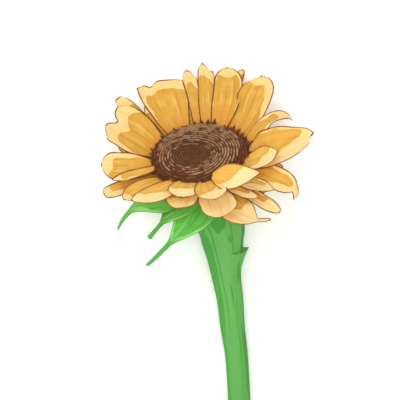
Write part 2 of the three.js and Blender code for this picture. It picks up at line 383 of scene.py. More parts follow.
# pale is the width of the painted highlight at the left hem, the right hem and the tip, in millimetres.
PLAIN = {"row": 1, "curl": 0, "bend": 1.6, "aim": 0, "side": 0, "sway": 1, "roll": 0, "base": 0.38,
         "peak": 0.5, "q": 1.5, "r": 0.8, "stop": 1.0, "end": 0.06, "round": 0.05, "sides": (1, 1),
         "flare": (0, 0), "cup": 0.12, "skew": 0, "corners": (0, 0), "lobes": (), "lift": 0,
         "start": None, "pleats": (0.3,), "pleat": 0.7, "wave": 0.8, "hems": (0, 0), "bleach": 0.0,
         "thick": 0.7, "pale": (1, 1, 9)}
STEPS_LONG, STEPS_WIDE, STATIONS = 48, 24, 96


def ray(at, length, width, rise, **shape):
    return {**PLAIN, "at": at, "length": length, "width": width, "rise": rise, **shape}


# %% Blade walk
def midrib(b):
    """Places and axes at stations along a blade, in head axes and millimetres."""
    s = np.linspace(0, 1, STATIONS + 1)
    bearing = math.radians(b["at"])
    up = np.array([0, 0, 1])
    out = np.array([math.cos(bearing), math.sin(bearing), 0])
    about = np.array([-math.sin(bearing), math.cos(bearing), 0])
    rise = np.radians(b["rise"] + b["curl"] * s ** b["bend"])[:, None]
    side = np.radians(b["aim"] + b["side"] * s ** b["sway"])[:, None]
    along = (out * np.cos(side) + about * np.sin(side)) * np.cos(rise) + up * np.sin(rise)
    flat = about * np.cos(side) - out * np.sin(side)
    turn = math.radians(b["roll"])
    wide = flat * math.cos(turn) + np.cross(along, flat) * math.sin(turn)
    radius, height = b["start"] or RAY_ROWS[b["row"]]
    first = out * radius + np.array([0, 0, height + b["lift"]])
    steps_taken = np.vstack([np.zeros(3), np.cumsum(along[:-1], 0)]) * b["length"] / STATIONS
    return s, first + steps_taken, along, wide


# %% Widths along a blade
def width_at(b, s):
    """Share of the full width: it swells to the peak, falls to the tail by stop, and ends round."""
    rising = b["base"] + (1 - b["base"]) * np.sin(math.pi / 2 * np.minimum(s / b["peak"], 1))
    run = np.clip((s - b["peak"]) / (b["stop"] - b["peak"]), 0, 1)
    fall = np.cos(math.pi / 2 * run ** b["q"]).clip(0) ** b["r"]
    falling = fall + (1 - fall) * b["end"]
    tip = np.clip((s - 1 + b["round"]) / b["round"], 0, 1) if b["round"] else 0 * s
    return np.where(s < b["peak"], rising, falling) * np.sqrt(1 - 0.98 * tip ** 2)


# %% Blade surface
FLARE_POWER, CORNER_POWER = 5, 4
PLEAT_WIDTH, HEM_FROM, HEM_FULL = 0.12, 0.45, 0.3
OUTLINE_WAVES, SLOW_WAVES, QUICK_WAVES = 9, 7, 15


def blade_sheet(b, seed):
    """The middle surface of a blade as a grid of points, and which way it faces at each."""
    rng = np.random.default_rng(seed)
    phases = rng.uniform(0, 2 * math.pi, 6)
    s = 1 - (1 - np.linspace(0, 1, STEPS_LONG + 1)[:, None]) ** 1.5
    t = np.sin(np.linspace(-1, 1, STEPS_WIDE + 1) * math.pi / 2)[None, :]
    left, right = np.maximum(-t, 0) ** CORNER_POWER, np.maximum(t, 0) ** CORNER_POWER
    reach = 1 + b["skew"] * t - sum(d * np.exp(-((t - at) / w) ** 2) for at, d, w in b["lobes"])
    reach = reach - b["corners"][0] * left - b["corners"][1] * right
    x = s * (1 + (reach - 1) * s ** 2)
    stations, *rows = midrib(b)
    here, forth, across = [
        np.stack([np.interp(x, stations, row[:, k]) for k in range(3)], -1) for row in rows]
    here = here + forth * (np.maximum(x - 1, 0) * b["length"])[..., None]
    proud = np.cross(forth, across)
    half = b["width"] / 2 * width_at(b, s) * np.where(t < 0, b["sides"][0], b["sides"][1])
    half = half * (1 + np.where(t < 0, b["flare"][0], b["flare"][1]) * s ** FLARE_POWER)
    half = half * (1 + 0.035 * np.sin(OUTLINE_WAVES * s + phases[0] + 2 * np.sign(t)) * s)
    bell = np.sin(math.pi * np.clip(s, 0, 1)) ** 0.6
    height = b["cup"] * half * t ** 2
    for at in b["pleats"]:
        for sign in (-1, 1):
            height = height - b["pleat"] * np.exp(-((t - sign * at) / PLEAT_WIDTH) ** 2) * bell
    slow = np.sin(SLOW_WAVES * s + phases[1] + 1.5 * t) * s * np.abs(t) ** 1.5
    quick = np.sin(QUICK_WAVES * s + phases[2] * np.sign(t)) * s * np.abs(t) ** 4
    height = height + b["wave"] * slow
    height = height + 0.5 * b["wave"] * quick
    for hem, side_of in zip(b["hems"], (-1, 1)):
        turned_up = np.clip((side_of * t - HEM_FROM) / (1 - HEM_FROM), 0, 1) ** 2
        turned_up = turned_up * np.clip(s / HEM_FULL, 0, 1)
        height = height + hem * half * turned_up
        half = half * (1 - 0.25 * abs(hem) * turned_up)
    points = here + across * (half * t)[..., None] + proud * height[..., None]
    return points, proud


# %% Distances over a blade
BAND_EASE = 1.2


def edge_gaps(points):
    """How far each point lies from the left edge, the right edge and the tip, in millimetres."""
    edges = (points[:, :1], points[:, -1:], points[-1:])
    return [np.linalg.norm(points - edge, axis=2) for edge in edges]


def inset_of(points):
    """How far each point lies from the blade's nearest edge, in millimetres."""
    return np.min(edge_gaps(points), axis=0)


def highlight_depth_of(points, pale):
    """How far each point lies inside the cream of the painted highlight; pale is its width at both hems and
    the tip.
    """
    full = np.clip(np.linspace(-0.2, 2.6, len(points)), 0, 1)[:, None]
    depths = [width * share - gap for width, share, gap in zip(pale, (full, full, 1), edge_gaps(points))]
    return BAND_EASE * np.log(sum(np.exp(np.clip(d, -60, 60) / BAND_EASE) for d in depths))


# %% Blade solid
def shell(name, upper, lower, uv, material):
    """A closed piece between two grids of points in metres, joined round their edges."""
    rows, cols = upper.shape[:2]
    number = np.arange(rows * cols).reshape(rows, cols)
    a, b, c, d = number[:-1, :-1], number[1:, :-1], number[1:, 1:], number[:-1, 1:]
    top = np.stack([a, b, c, d], -1).reshape(-1, 4)[:, ::-1]
    ring = np.concatenate([number[:-1, 0], number[-1, :-1], number[:0:-1, -1], number[0, :0:-1]])
    after = np.roll(ring, -1)
    rim = np.stack([ring, after, after + rows * cols, ring + rows * cols], -1)[:, ::-1]
    faces = np.concatenate([top, top[:, ::-1] + rows * cols, rim])
    points = np.concatenate([upper.reshape(-1, 3), lower.reshape(-1, 3)])
    thing = make_mesh(name, points, faces, np.concatenate([uv, uv]))
    thing.data.materials.append(material)
    return thing


def carry(thing, name, values):
    """Stores a number for every point of a shell's two faces under a name that its shader reads."""
    both = np.tile(np.ravel(values).astype(np.float32), len(thing.data.vertices) // np.size(values))
    thing.data.attributes.new(name, "FLOAT", "POINT").data.foreach_set("value", both)


def blade_solid(name, points, proud, blade, material):
    """A closed blade round its middle surface, thickest along the midrib and thin at the margin."""
    rows, cols = points.shape[:2]
    t = np.sin(np.linspace(-1, 1, cols) * math.pi / 2)
    half = blade["thick"] / 2 * (0.25 + 0.75 * np.sqrt(1 - t ** 2))[None, :, None]
    across, along = (t[None, :] + 1) / 2, np.linspace(0, 1, rows)[:, None]
    uv = np.stack(np.broadcast_arrays(across, along), -1).reshape(-1, 2)
    thing = shell(name, from_head(points + proud * half), from_head(points - proud * half), uv, material)
    carry(thing, "inset", inset_of(points))
    carry(thing, "highlight_band", highlight_depth_of(points, blade["pale"]))
    carry(thing, "bleach", blade["bleach"])
    return thing


probe = blade_sheet(ray(0, 60, 30, 20), 1)[0]
print("a test petal spans", (probe.max((0, 1)) - probe.min((0, 1))).round(1), "mm")

# %% [markdown]
# ## The petals themselves
# Twenty-six petals show, and no two are alike, so each has its own line. They are listed from the
# ones that lie on top to the ones beneath, in the order of the solids they stand for. Lobes cut
# the tip of a broad petal, hems turn its edges up or down, pale sets the width of its painted
# highlight, and one more number paints light on it, paling its gold towards cream.

# %% Petal table
RAYS = [
    ray(-79, 48, 31, 8, row=0, aim=52, side=20, base=0.3, peak=0.32, q=1.1, r=0.95, lift=7, roll=24,
        bleach=0.9, sides=(1.05, 0.8), pale=(21, 0, 6)),
    ray(-88, 44, 31, 14, row=0, base=0.55, side=12, q=2.2, lift=1, bleach=0.8, sides=(0.9, 1.05),
        pale=(1, 15, 19)),
    ray(-109, 29, 32, 10, row=0, base=0.7, q=1.9, lift=1, bleach=0.8, pale=(3, 14, 17)),
    ray(-127, 53, 28, 6, row=0, side=-42, r=0.95, end=0.03, bleach=0.7, sides=(0.85, 1.2), pale=(1, 20, 9)),
    ray(-165, 46, 12, 2, row=0, roll=-20, bleach=0.55, base=0.6, sides=(0.8, 1), pale=(0, 3, 10)),
    ray(61, 71, 29, 26, row=0, side=24, q=2.4, r=0.7, base=0.6, sides=(1.1, 1), pale=(4, 1.6, 12)),
    ray(-31, 39, 29, 22, row=0, q=1.3, r=1, round=0.02, end=0.02, side=40, roll=10, bleach=0.6,
        pale=(15, 0, 4)),
    ray(79, 76, 20, 35, side=5, lift=2, q=3, r=0.5, end=0.75, round=0, sides=(1.15, 0.72), pleats=(0.35,),
        lobes=((-0.85, 0.15, 0.65), (1.0, 0.07, 0.4)), pale=(0.8, 1.8, 13)),
    ray(111, 69.5, 50, 29.8, side=-14, base=0.45, peak=0.86, q=3, end=0.94, r=0.35, round=0,
        pleats=(0.2, 0.6), skew=0.05, corners=(0.06, 0.05), lobes=((0.45, 0.1, 0.19), (0.9, 0.07, 0.3)),
        sides=(0.94, 0.96), flare=(0, 0.14), pale=(1, 5, 11)),
    ray(150, 62, 56, 31, base=0.42, peak=0.6, q=3, end=0.9, r=0.35, round=0, roll=-8, pleats=(0.2, 0.6),
        corners=(0.12, 0.02), lobes=((-0.65, -0.04, 0.25), (0.05, 0.13, 0.2), (1.0, 0.14, 0.3)),
        sides=(0.86, 1.0), pale=(0.8, 6, 16)),
    ray(-176, 57, 35, 15, peak=0.6, q=2.4, roll=-22, bleach=0.3, sides=(0.85, 1), pale=(6, 1, 12)),
    ray(35, 71, 38, 37, peak=0.5, q=2.4, r=0.6, round=0.04, end=0.1, skew=-0.02, side=30, sway=1.1, base=0.6,
        sides=(1.05, 0.98), corners=(0, 0.03), pale=(9, 1, 10)),
    ray(-18, 73, 43, 15, side=37, q=1.2, r=0.75, peak=0.36, roll=8, bleach=0.35, hems=(0, 0.35), end=0.18,
        skew=0.05, sides=(0.86, 1.22), pale=(20, 3, 11)),
    ray(10, 67, 17, 48, curl=-118, end=0.6, stop=0.9, side=-1, bend=3, bleach=0.3, base=0.6, round=0.03,
        pale=(4, 4, 16)),
    ray(89, 71, 15, 36, peak=0.6, q=3, r=0.4, end=0.8, round=0, lobes=((-1.0, 0.16, 0.8), (1.1, 0.1, 0.4)),
        sides=(1, 0.72), flare=(0, 0.9), pale=(1, 3, 13)),
    ray(-50, 48, 20, -2, side=24, bleach=0.9, pale=(12, 2, 10)),
    ray(-64, 43, 16, -4, side=38, bleach=1.0, pale=(7, 0.5, 9)),
    ray(-26, 75, 34, 5, curl=-114, side=2, peak=0.4, bend=2.1, stop=0.82, end=0.4, q=2, bleach=0.5,
        roll=15, sides=(1.32, 0.36), pale=(10, 5, 16)),
    ray(-82, 47, 36, -5, base=0.5, q=2.4, peak=0.55, bleach=0.9, pale=(8, 8, 30)),
    ray(-111, 36, 31, 2, base=0.55, q=2.4, bleach=1.0, pale=(3, 12, 16)),
    ray(-145, 53, 30, 6, bleach=0.55, q=2, pale=(1, 11, 8)),
    ray(137, 80, 23, 36, row=2, end=0.5, q=2.6, round=0, lift=-3, corners=(0.03, 0.06), pale=(1, 1, 15)),
    ray(60, 84, 11, 28.6, row=2, end=0.6, pale=(0, 3, 6)),
    ray(-50, 63, 18, -15, row=2, side=10, end=0.3, bleach=1.0, pale=(9, 3, 20)),
    ray(-72, 76, 40, -16, row=2, curl=24, side=76, sway=2.2, q=1.3, peak=0.4, stop=0.82, end=0.16,
        round=0.2, sides=(0.9, 1), bleach=1.0, pale=(25, 4, 33)),
    ray(-164, 64, 18, 1, row=2, end=0.5, q=2.5, roll=-15, bleach=0.4, pale=(0.5, 7, 8)),
]
HIND_RAYS = ((124, 58, 36), (99, 46, 36), (72, 52, 36), (47, 58, 37), (24, 50, 36), (0, 46, 24),
             (-18, 46, 8), (-38, 40, -6), (163, 48, 22), (-172, 46, 8))
for at, length, rise in HIND_RAYS:
    width, row = (26, 2) if at > 40 else (22, 3)
    RAYS.append(ray(at, length, width, rise, row=row, q=1.3, pale=(2, 2, 8)))
print("petals:", len(RAYS))

# %% Bract table
BRACT_START = (33, -22)
# pale is the width of the painted highlight along each margin and at the tip, in millimetres.
TAILED = {"start": BRACT_START, "base": 0.8, "peak": 0.25, "q": 0.9, "r": 1.3, "stop": 0.7, "end": 0.2,
          "round": 0.03, "pleats": (), "wave": 0.6, "thick": 1.1, "pale": (2, 2, 8)}
BRACTS = [
    ray(206, 78, 32, 8, **{**TAILED, "curl": -80, "bend": 2.2, "lift": -4, "sides": (0.5, 1.5), "roll": -32,
        "end": 0.17, "round": 0.36, "pale": (0.5, 6, 0)}),
    ray(236, 62, 42, -6, **{**TAILED, "curl": -30, "side": -30, "base": 0.9, "lift": -4, "sides": (0.8, 1.1),
        "end": 0.15, "pale": (2, 4.5, 0)}),
    ray(254, 101, 46, -10, **{**TAILED, "start": (21, -30), "curl": -12, "side": -50, "sides": (0.6, 1.15),
        "end": 0.135, "base": 0.6, "peak": 0.34, "pale": (3, 5, 0)}),
]
HIND_BRACTS = ((-46, 40, 4), (-20, 40, 8), (6, 44, 16), (28, 46, 20), (52, 48, 12.6), (80, 46, 34),
               (106, 46, 34), (133, 48, 6.5), (160, 44, 16), (186, 42, 8))
BRACTS += [ray(at, length, 28, rise, **{**TAILED, "curl": -12}) for at, length, rise in HIND_BRACTS]
print("bracts:", len(BRACTS))

# %% [markdown]
# ## Laying the blades over one another
# Drawn one by one, neighbouring petals would cut through each other. Real ones lie like tiles. So
# we go from the top blade down, and wherever a blade would stand above one that should cover it,
# it is pressed down just under it, with the push eased out so that no dent shows.

# %% Press each blade under the ones above
GAP, DEEPEST, EASE_ROUNDS = 0.9, 9.0, 14
REACH, CELL = 170, 1.0
SIDE = int(2 * REACH / CELL)


def cell_of(points):
    """Which cell of the disc's plane each point lies over."""
    cell = np.clip(((points[..., :2] + REACH) / CELL).astype(int), 0, SIDE - 1)
    return cell[..., 0], cell[..., 1]


def ceiling_of(points):
    """Lowest height of a blade over each cell of the disc's plane, infinite where it isn't."""
    fine = points
    for axis in (0, 1, 0):
        moved = np.moveaxis(fine, axis, 0)
        woven = np.empty((2 * len(moved) - 1, *moved.shape[1:]))
        woven[::2], woven[1::2] = moved, (moved[:-1] + moved[1:]) / 2
        fine = np.moveaxis(woven, 0, axis)
    flat = fine.reshape(-1, 3)
    heights = np.full((SIDE, SIDE), np.inf)
    np.minimum.at(heights, cell_of(flat), flat[:, 2])
    return heights


def smooth(field):
    padded = np.pad(field, 1, mode="edge")
    return (padded[:-2, 1:-1] + padded[2:, 1:-1] + padded[1:-1, :-2] + padded[1:-1, 2:] + 2 * field) / 6


def press_under(points, ceilings):
    """Lowers a blade where it stands less than the deepest push above a ceiling."""
    push, cells = np.zeros(points.shape[:2]), cell_of(points)
    for heights in ceilings:
        over = points[..., 2] + GAP - heights[cells]
        push = np.where((over > push) & (over < DEEPEST), over, push)
    needed = push.copy()
    for _ in range(EASE_ROUNDS):
        push = np.maximum(needed, smooth(push))
    return points - push[..., None] * np.array([0, 0, 1.0])


# %% Keep every blade off the table
CLEARANCE = 0.6


def above_table(points):
    """Bends what would sink into the table back up to just above it."""
    world = from_head(points)
    low = np.minimum(world[..., 2] / MM - CLEARANCE, 0)
    return points - low[..., None] * HEAD[:, 2]


# %% Lay the blades
FIRST_SEED = 100
sheets, ceilings = [], []
for number, blade in enumerate(RAYS + BRACTS):
    points, proud = blade_sheet(blade, FIRST_SEED + number)
    points = above_table(press_under(points, ceilings))
    ceilings.append(ceiling_of(points))
    sheets.append((blade, points, proud))
print("laid", len(sheets), "blades")

# %% Petal pieces
for number, (blade, points, proud) in enumerate(sheets[:len(RAYS)], 1):
    petal = blade_solid(f"petal_{number:02d}", points, proud, blade, PETAL)
    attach(petal, "root")
    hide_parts(f"ray_{number:02d}")
petals = [o for o in scene.objects if o.name.startswith("petal_")]
print("petal triangles:", sum(2 * len(o.data.polygons) for o in petals))

# %% [markdown]
# ## Green parts: bracts, back and stem
# The stem of a sunflower is ribbed and streaked along its length, and rough with short stiff hairs.
# Its green also carries painted light and shade: a lit line down one side with darker bands round
# from it, a painted shadow under the head, and painted shade in a crease and towards the cut end.
# The bracts are the same green, with painted highlights along their edges and midrib, painted
# light at their bases and painted shade on their tails.

# %% Bract material
def bract_material():
    material, tree, shader = new_material("bract green", 0.66, specular_ior_level=0.22)
    veins = veins_on(tree, 6.0, 0.2)
    inset, highlight_band = carried(tree, "inset", "highlight_band")
    along, lobed = veins["Along"], veins["Lobes"]
    colour = coats(
        tree, blend(tree, ramp(tree, lobed, 0.44, 0.52), paint("58b244"), paint("68c452")),
        # Painted light: the base of each bract, which lies in the petals' shade, is lightened.
        (ramp(tree, along, 0.6, 0.15, 0, 0.7), "83e06a"),
        (times(tree, veins["Vein"], 0.5), "3c9432"),
        # Painted highlights: a light band along the margins and a light stripe down the midrib.
        (ramp(tree, jog(tree, lobed, 5.0, highlight_band), -0.4, 0.5, 0, 0.9), "a2ea8d"),
        (ramp(tree, veins["To margin"], 0.88, 0.97, 0, 0.55), "a2ea8d"),
        # Painted shade: the tails, which stand in full light, are darkened.
        (ramp(tree, along, 0.4, 0.56), "5cae4c"),
        (ramp(tree, inset, 1.1, 0.3, 0, 0.75), "3f9a33"))
    dress(tree, shader, colour, veins["Vein"], 0.3, 0.0004)
    return material


BRACT = bract_material()
print("material:", BRACT.name)


# %% Stem material
def stem_material():
    material, tree, shader = new_material("stem green", 0.68, specular_ior_level=0.22)
    uv = add(tree, "ShaderNodeUVMap").outputs[0]
    parts = add(tree, "ShaderNodeSeparateXYZ", {0: uv}).outputs
    drawn_out = add(tree, "ShaderNodeMapping", {"Vector": uv, "Scale": (7.0, 3.2, 1.0)},
                    "streaks run along the stem")
    streak = noise(tree, drawn_out.outputs[0], 1.0, 2.0)
    fine = noise(tree, object_place(tree), 500.0, 4.0)
    round_it, down_it = parts["X"], parts["Y"]
    # Painted light and shade round the stem: lightest along a lit line down one side, darker in bands further
    # round, their edges broken by streaks.
    past_lit_line = calc(tree, "SUBTRACT", times_plus(tree, down_it, 0.07, round_it), 0.52)
    from_lit_line = calc(tree, "ABSOLUTE", past_lit_line)
    lit_distance = jog(tree, streak, 0.6, times_plus(tree, down_it, -0.05, from_lit_line))
    # Painted light: a lighter band on one side past the lit line.
    second = times(tree, ramp(tree, lit_distance, 0.185, 0.2), ramp(tree, past_lit_line, 0.0, 0.02))
    # Painted shade: a dark line where a crease runs down the upper stem.
    crease_shade = times_plus(tree, down_it, -0.22, calc(tree, "SUBTRACT", round_it, 0.33))
    crease_shade = ramp(tree, calc(tree, "ABSOLUTE", crease_shade), 0.02, 0.006)
    crease_shade = times(tree, crease_shade, ramp(tree, down_it, 0.7, 0.6))
    # Painted shadow: a dark band across the stem just under the head, where the petals shade it.
    head_shadow = times_plus(tree, times(tree, from_lit_line, from_lit_line), -2.6, 0.19)
    head_shadow = jog(tree, streak, 0.12, calc(tree, "SUBTRACT", head_shadow, down_it))
    colour = coats(
        tree, blend(tree, ramp(tree, lit_distance, 0.13, 0.15), paint("66ab57"), paint("4b9a3d")),
        (ramp(tree, lit_distance, 0.25, 0.27, 0, 0.6), "5aa54b"),
        (second, "64ac54"),
        (ramp(tree, lit_distance, 0.36, 0.38, 0, 0.9), "408a34"),
        # Painted shade: the stem darkens towards the cut end.
        (ramp(tree, down_it, 0.35, 0.9, 0, 0.4), "4c963f"),
        (times(tree, crease_shade, 0.8), "3f8c35"),
        (ramp(tree, head_shadow, -0.004, 0.006, 0, 0.9), "419636"),
        (ramp(tree, fine, 0.58, 0.75, 0, 0.3), "9bd089"))
    dress(tree, shader, colour, times_plus(tree, fine, 0.3, streak), 0.4, 0.0006)
    return material


STEM_GREEN = stem_material()
print("material:", STEM_GREEN.name)

# %% Bract pieces
for number, (blade, points, proud) in enumerate(sheets[len(RAYS):], 1):
    bract = blade_solid(f"leafy_bract_{number:02d}", points, proud, blade, BRACT)
    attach(bract, "root")
    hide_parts(f"bract_{number:02d}")
print("bracts made:", len(BRACTS))

# %% [markdown]
# ## The stem
# A limb is a ring of points carried along a centre line. The stations give its place and radius;
# between them both are eased, so the stem swells into the head without a corner. Five broad ribs
# and many fine ones run its whole length.

# %% Limb helper
STEM = ((4, -23.4, -18.8, 25), (13, -50, -30, 26), (21, -72, -34, 24.2), (22.8, -88, -37, 21.4),
        (25, -106, -40, 18), (27, -126, -42, 15), (30.8, -149, -44, 13.6), (33.4, -177, -46, 12.7),
        (37.7, -209, -47.8, 11.7), (40, -245, -48.4, 11.6), (40.5, -262, -48.4, 11.7),
        (40.5, -283, -48.4, 11.8))


def eased(stations, count):
    """A smooth run of count stations through the given ones, by the Catmull-Rom rule."""
    p = np.array([stations[0], *stations, stations[-1]], float)
    u = np.linspace(0, len(stations) - 1 - 1e-9, count)
    k, f = u.astype(int), (u % 1)[:, None]
    a, b, c, d = p[k], p[k + 1], p[k + 2], p[np.minimum(k + 3, len(p) - 1)]
    bend, twist = 2 * a - 5 * b + 4 * c - d, 3 * b - a - 3 * c + d
    return 0.5 * (2 * b + (c - a) * f + bend * f ** 2 + twist * f ** 3)


def limb_rings(stations, count, sides, relief):
    """Rings of points along a limb; relief(angle, share) is the radius against the plain one."""
    run = eased(stations, count)
    at, radius = run[:, :3], run[:, 3]
    along = np.gradient(at, axis=0)
    along[-1] = at[-1] - at[-2]
    along /= np.linalg.norm(along, axis=1)[:, None]
    side, rings = np.array([1.0, 0, 0]), []
    angle = np.linspace(0, 2 * math.pi, sides, endpoint=False)
    for i in range(count):
        side = side - along[i] * (side @ along[i])
        side /= np.linalg.norm(side)
        across = np.cross(along[i], side)
        r = radius[i] * relief(angle, i / (count - 1))
        rings.append(at[i] + np.outer(r * np.cos(angle), side) + np.outer(r * np.sin(angle), across))
    return np.array(rings)


def closed_tube(name, rings, to_metres, material, uv=None):
    """A closed piece through rings of points, its two ends capped by fans."""
    count, sides = rings.shape[:2]
    points = np.vstack([rings.reshape(-1, 3), rings[0].mean(0), rings[-1].mean(0)])
    number = np.arange(count * sides).reshape(count, sides)
    after = np.roll(number, -1, axis=1)
    skin = np.stack([number[:-1], after[:-1], after[1:], number[1:]], -1).reshape(-1, 4)[:, ::-1]
    caps = [(count * sides, a, b) for a, b in zip(number[0], after[0])]
    caps += [(count * sides + 1, b, a) for a, b in zip(number[-1], after[-1])]
    thing = make_mesh(name, to_metres(points), skin.tolist() + caps, uv)
    thing.data.materials.append(material)
    return thing


def limb_uv(count, sides):
    """A map for a tube: across runs from 1 at the seam to 0 opposite it, and down from end to end."""
    across, down = np.abs(np.linspace(-1, 1, sides, endpoint=False)), np.linspace(0, 1, count)
    uv = np.stack(np.broadcast_arrays(across[None, :], down[:, None]), -1).reshape(-1, 2)
    return np.vstack([uv, [[0.5, 0], [0.5, 1]]])


# %% Stem
STEM_RINGS, STEM_SIDES = 180, 96


def stem_relief(angle, share):
    broad = 0.035 * np.cos(5 * angle)
    fine = 0.010 * np.cos(17 * angle + 2 * np.sin(9 * share)) + 0.006 * np.cos(29 * angle)
    return 1 + broad + fine * (1 - 0.5 * share)


stem = closed_tube("ribbed_stem", limb_rings(STEM, STEM_RINGS, STEM_SIDES, stem_relief), from_table,
                   STEM_GREEN, limb_uv(STEM_RINGS, STEM_SIDES))
stem.data.materials.append(new_material("cut pith", 0.8, base_color=paint("dbe6b8"))[0])
for face in stem.data.polygons[-STEM_SIDES:]:
    face.material_index = 1
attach(stem, "root")
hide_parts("stem")
print("stem faces:", len(stem.data.polygons))

# %% [markdown]
# ## Where a leaf was torn off
# A flap of the leaf's foot still clasps the stem. It follows the stem's skin from a notch round to
# its right side, stands proud along its ragged top edge, ends in a point, and fades out below.

# %% Leaf stub
STUB_FROM, STUB_TO, TOP, FOOT = math.radians(77), math.radians(-30), -101.5, -136
LIP, FLAP_OUT, POINT_AT = 1.6, 5.2, 0.72
a, down = np.meshgrid(np.linspace(0, 1, 40), np.linspace(0, 1, 30))
run = eased(STEM, 400)[::-1]
climb = 5.6 * np.clip((a - 0.35) / 0.35, 0, 1) ** 2 * (a < POINT_AT)
upper_edge = TOP + 2.4 * a + climb + 0.5 * np.sin(23 * a)
past_point = np.maximum(a - POINT_AT, 0)
upper_edge = np.where(a < POINT_AT, upper_edge, upper_edge.max() - 24 * past_point ** 0.8)
lower_edge = FOOT + 22 * a ** 1.5
height = upper_edge + (lower_edge - upper_edge) * down
angle = STUB_FROM + (STUB_TO - STUB_FROM) * a
bulge = FLAP_OUT * np.exp(-((a - 0.7) / 0.16) ** 2)
proud = (LIP + bulge) * np.clip(a / 0.06, 0, 1) * (1 - down) ** 1.6
proud = proud * np.clip((1 - a) / 0.12, 0, 1)


def on_stem(beyond):
    """Points that stand beyond the stem's skin by so many millimetres, in the table's axes."""
    middle = [np.interp(height, run[:, 1], run[:, k]) for k in (0, 2, 3)]
    reach = middle[2] + beyond
    return np.stack([middle[0] + reach * np.cos(angle), height, middle[1] + reach * np.sin(angle)], -1)


outer, inner = from_table(on_stem(proud - 0.5 * down)), from_table(on_stem(-1.8 - down))
stub_uv = np.stack([np.full(a.shape, 0.5) + 0.25 * a, 0.45 + 0.1 * down], -1).reshape(-1, 2)
stub = shell("torn_leaf_stub", inner, outer, stub_uv, STEM_GREEN)
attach(stub, "root")
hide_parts("leaf_stub")
print("stub faces:", len(stub.data.polygons))


# %% [markdown]
# ## The back of the head and the bed of the disc
# Both are turned shapes: a profile swept once round the head's axis. The back is the green dish
# that the bracts grow from, the bed is the brown cushion that carries the florets.

# %% Turned shapes
def turned(name, profile, material, sides=96):
    """A profile of (radius, height) pairs swept round the head's axis."""
    angle = np.linspace(0, 2 * math.pi, sides, endpoint=False)
    rings = np.array([[(r * math.cos(a), r * math.sin(a), z) for a in angle] for r, z in profile])
    return closed_tube(name, rings, from_head, material)


def smooth_profile(corners, count):
    """A profile of count pairs eased through a few corners."""
    return [tuple(r[:2]) for r in eased([(radius, height, 0, 0) for radius, height in corners], count)]


BED = ((0.5, 5.6), (9, 5.6), (18, 7.2), (28, 8.8), (36, 8.2), (43, 5.4), (48, 1), (49.5, -3), (48, -5))
BACK = ((47.5, -5.4), (48.5, -7), (47, -10), (41, -17.5), (34, -24), (28, -29), (24, -31))


# %% Disc materials
def floret_material(name, colour, other):
    material, tree, shader = new_material(name, 0.75, specular_ior_level=0.2)
    grain = noise(tree, object_place(tree), 420.0, 3.0)
    mixed = blend(tree, ramp(tree, grain, 0.35, 0.7), paint(colour), paint(other))
    dress(tree, shader, mixed, grain, 0.5, 0.0005)
    return material


SOIL_BROWN = floret_material("disc bed", "5f3c23", "50301b")
bed = turned("disc_bed", smooth_profile(BED, 60), SOIL_BROWN)
back = turned("dished_back", smooth_profile(BACK, 30), STEM_GREEN)
for piece, node, slot in ((bed, "seed_disc", "disc"), (back, "green_back", "green")):
    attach(piece, "root")
    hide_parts(node)
print("turned pieces:", bed.name, back.name)

# %% [markdown]
# ## Florets
# The disc is packed with florets in close rows, so Geometry Nodes make them from 1500 points.
# Points run along a tight spiral of even steps, which reads as rings; each is dropped on the bed,
# given a floret that leans a little outward from the head's axis, and sorted by tone, so that
# short runs of light and dark florets alternate. The heart is dark, the ring round it pale, and the
# rim rusty.


# %% One floret
def floret_mesh(name, petals, tall, wide, flare):
    """A low mound with a lobed edge and a shallow mouth, a few dozen faces."""
    sides = petals * 2
    levels = ((0.85, 0.0), (0.85, 0.4), (0.8, 0.8), (0.52, 1.0), (0.2, 0.85))
    points = []
    for level, (r, z) in enumerate(levels):
        for k in range(sides):
            a = 2 * math.pi * k / sides
            lobe = 1 + (flare if level in (2, 3) else 0) * (1 if k % 2 else -1)
            points.append((r * wide * lobe * math.cos(a) / 2, r * wide * lobe * math.sin(a) / 2, z * tall))
    faces = []
    for i in range(len(levels) - 1):
        for k in range(sides):
            j = (k + 1) % sides
            faces.append((i * sides + k, i * sides + j, (i + 1) * sides + j, (i + 1) * sides + k))
    faces.append(tuple(range(4 * sides, 5 * sides)))
    faces.append(tuple(reversed(range(sides))))
    return make_mesh(name, points, faces, shown=False)


OPEN_FLORET = floret_mesh("open floret", 4, 1.2, 2.6, 0.1)
BUD = floret_mesh("floret bud", 3, 0.9, 2.5, 0.05)
print("floret faces:", len(OPEN_FLORET.data.polygons))

# %% Steps that both trees share
def xyz(tree, x=0.0, y=0.0, z=0.0):
    """Three numbers as one place or direction."""
    return add(tree, "ShaderNodeCombineXYZ", {"X": x, "Y": y, "Z": z}).outputs[0]


def polar(tree, radius, angle, east=0.0, north=0.0):
    """The two sides of a place at a radius and an angle from a middle."""
    return (times_plus(tree, radius, calc(tree, "COSINE", angle), east),
            times_plus(tree, radius, calc(tree, "SINE", angle), north))


def reach_of(tree, east, north):
    """How far a place lies from the middle."""
    return calc(tree, "SQRT", calc(tree, "ADD", times(tree, east, east), times(tree, north, north)))


def random_between(tree, low, high, seed):
    """A number for each point, drawn between low and high."""
    node = add(tree, "FunctionNodeRandomValue", data_type="FLOAT", inputs={2: low, 3: high, "Seed": seed})
    return node.outputs[1]


def remember(tree, geometry, name, value):
    """Stores a value on every point, and gives the geometry and what reads the value later."""
    store = add(tree, "GeometryNodeStoreNamedAttribute", data_type="FLOAT", inputs={
        "Geometry": geometry, "Name": name, "Value": value})
    read = add(tree, "GeometryNodeInputNamedAttribute", data_type="FLOAT", inputs={"Name": name})
    return store.outputs[0], read.outputs["Attribute"]


